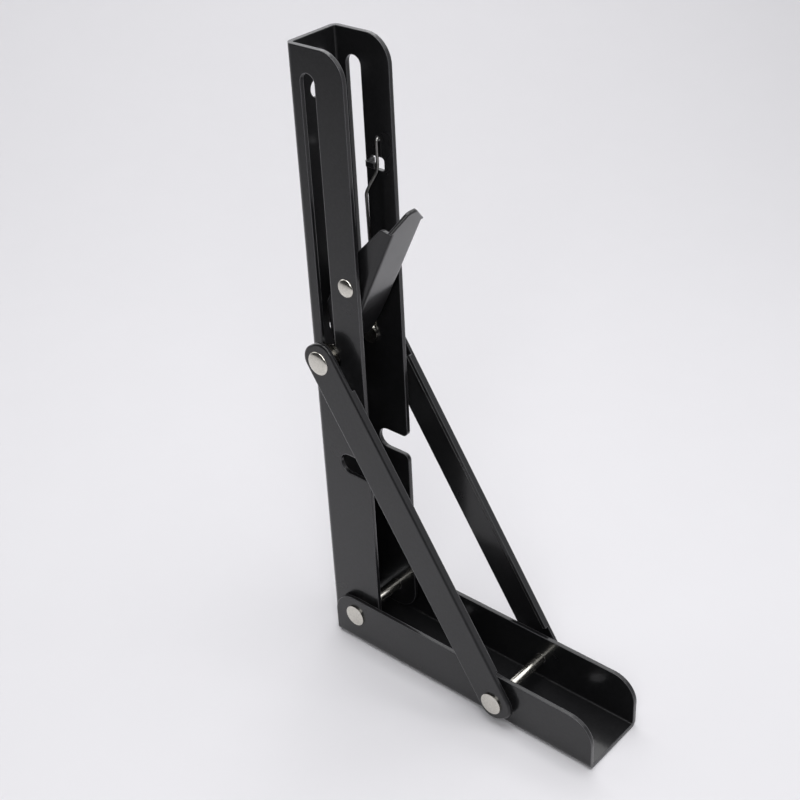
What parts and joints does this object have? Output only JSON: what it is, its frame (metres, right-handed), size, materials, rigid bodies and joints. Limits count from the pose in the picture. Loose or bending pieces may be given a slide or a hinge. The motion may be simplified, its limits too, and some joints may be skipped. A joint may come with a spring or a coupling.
{
  "type": "folding shelf bracket",
  "caption": "Folding steel shelf bracket: a long shelf arm hinged to a short wall arm, sliding struts that lock it open, and a sprung release lever that lets it fold flat.",
  "frame": {"origin": "middle of the two screw holes of the wall arm, on the face that goes against the wall", "axes": "+X along the wall arm from the hinge to its free end, +Y along the pins, +Z along the shelf arm, away from the wall"},
  "size_m": [0.157, 0.0468, 0.3],
  "materials": {
    "black_powder_coat": "semi-gloss black powder coat",
    "bright_zinc_plate": "bright zinc plate",
    "washer_zinc_plate": "zinc plate",
    "spring_wire": "plated spring wire"
  },
  "bodies": {
    "wall_arm": {"wall_arm": "black_powder_coat", "hinge_rivet": "bright_zinc_plate", "hinge_washer_left": "washer_zinc_plate", "hinge_washer_right": "washer_zinc_plate", "lower_strut_rod": "bright_zinc_plate", "lower_washer_left": "washer_zinc_plate", "lower_washer_right": "washer_zinc_plate"},
    "shelf_arm": {"shelf_arm": "black_powder_coat", "lever_rivet": "bright_zinc_plate", "lever_spring": "spring_wire"},
    "struts": {"strut_left": "black_powder_coat", "strut_right": "black_powder_coat", "upper_rivet_left": "bright_zinc_plate", "upper_rivet_right": "bright_zinc_plate", "upper_washer_left": "washer_zinc_plate", "upper_washer_right": "washer_zinc_plate"},
    "slide_pins": {"slide_pin_left": "bright_zinc_plate", "slide_pin_right": "bright_zinc_plate", "slot_spacer_left": "washer_zinc_plate", "slot_spacer_right": "washer_zinc_plate"},
    "release_lever": {"release_lever": "black_powder_coat"}
  },
  "joints": [
    {"name": "fold", "type": "hinge", "parent": "wall_arm", "child": "shelf_arm", "pos_m": [-0.069, 0, 0.0162], "axis": [0, 1, 0], "range_deg": [0, 90]},
    {"name": "strut_swing", "type": "hinge", "parent": "wall_arm", "child": "struts", "pos_m": [0.018, 0, 0.0125], "axis": [0, 1, 0], "range_deg": [0, 119.1]},
    {"name": "pin_slide", "type": "slide", "parent": "shelf_arm", "child": "slide_pins", "axis": [0, 0, 1], "range_m": [0, 0.1179]},
    {"name": "lever_press", "type": "hinge", "parent": "shelf_arm", "child": "release_lever", "pos_m": [-0.0631, 0, 0.19764], "axis": [0, -1, 0], "range_deg": [0, 30], "stiffness_Nm_per_rad": 0.15, "springref_deg": -20.05, "deforming": ["lever_spring"]}
  ],
  "couplings": [
    {"joint": "strut_swing", "follows": "fold", "ratio": 1.3229},
    {"joint": "pin_slide", "follows": "fold", "m_per_rad": 0.075016}
  ]
}
